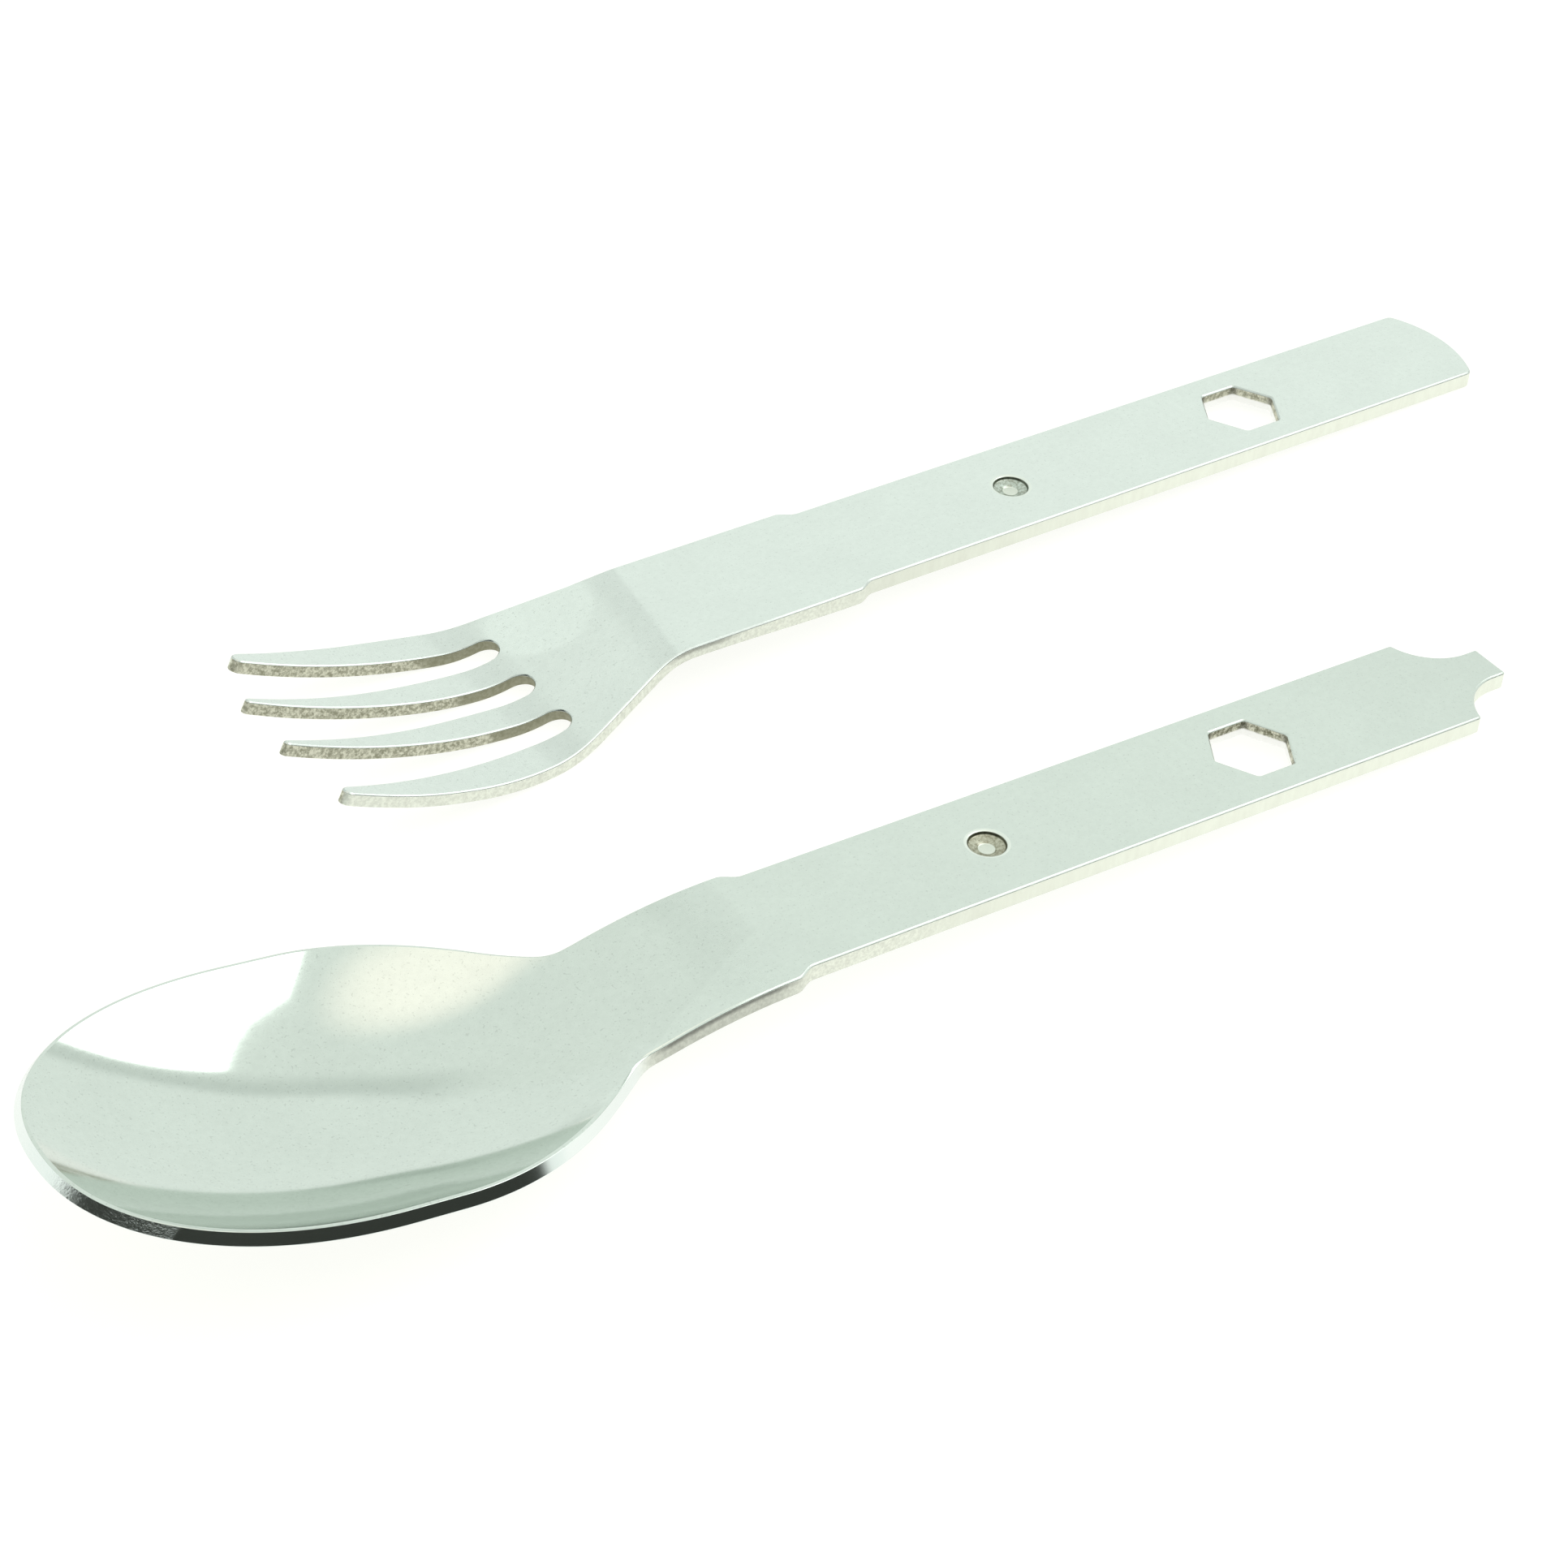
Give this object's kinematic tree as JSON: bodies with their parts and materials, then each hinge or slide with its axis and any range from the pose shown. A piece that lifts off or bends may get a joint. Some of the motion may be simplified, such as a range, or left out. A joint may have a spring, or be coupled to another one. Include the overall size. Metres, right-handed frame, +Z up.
{
  "type": "picnic cutlery",
  "caption": "Sheet-steel fork and spoon for picnics, with hexagon wrench holes, locating dimples and a screwdriver blade.",
  "frame": {"origin": "middle of the pair's plan, on the surface that both pieces lie on", "axes": "+Z up; +X along the spoon's handle, from its bowl towards its screwdriver blade; +Y from the spoon towards the fork"},
  "size_m": [0.25, 0.0997, 0.0167],
  "materials": {
    "spoon_steel": "stainless sheet, satin along the handle and polished in the bowl, with sheared edges",
    "fork_steel": "stainless sheet, satin along the handle and smooth on the head, with rough sheared slot walls"
  },
  "bodies": {
    "spoon": {"spoon": "spoon_steel"},
    "fork": {"fork": "fork_steel"}
  },
  "joints": [
    {"name": "fork_lift", "type": "slide", "parent": "spoon", "child": "fork", "axis": [0, 0, 1], "range_m": [0, 0.1]}
  ]
}
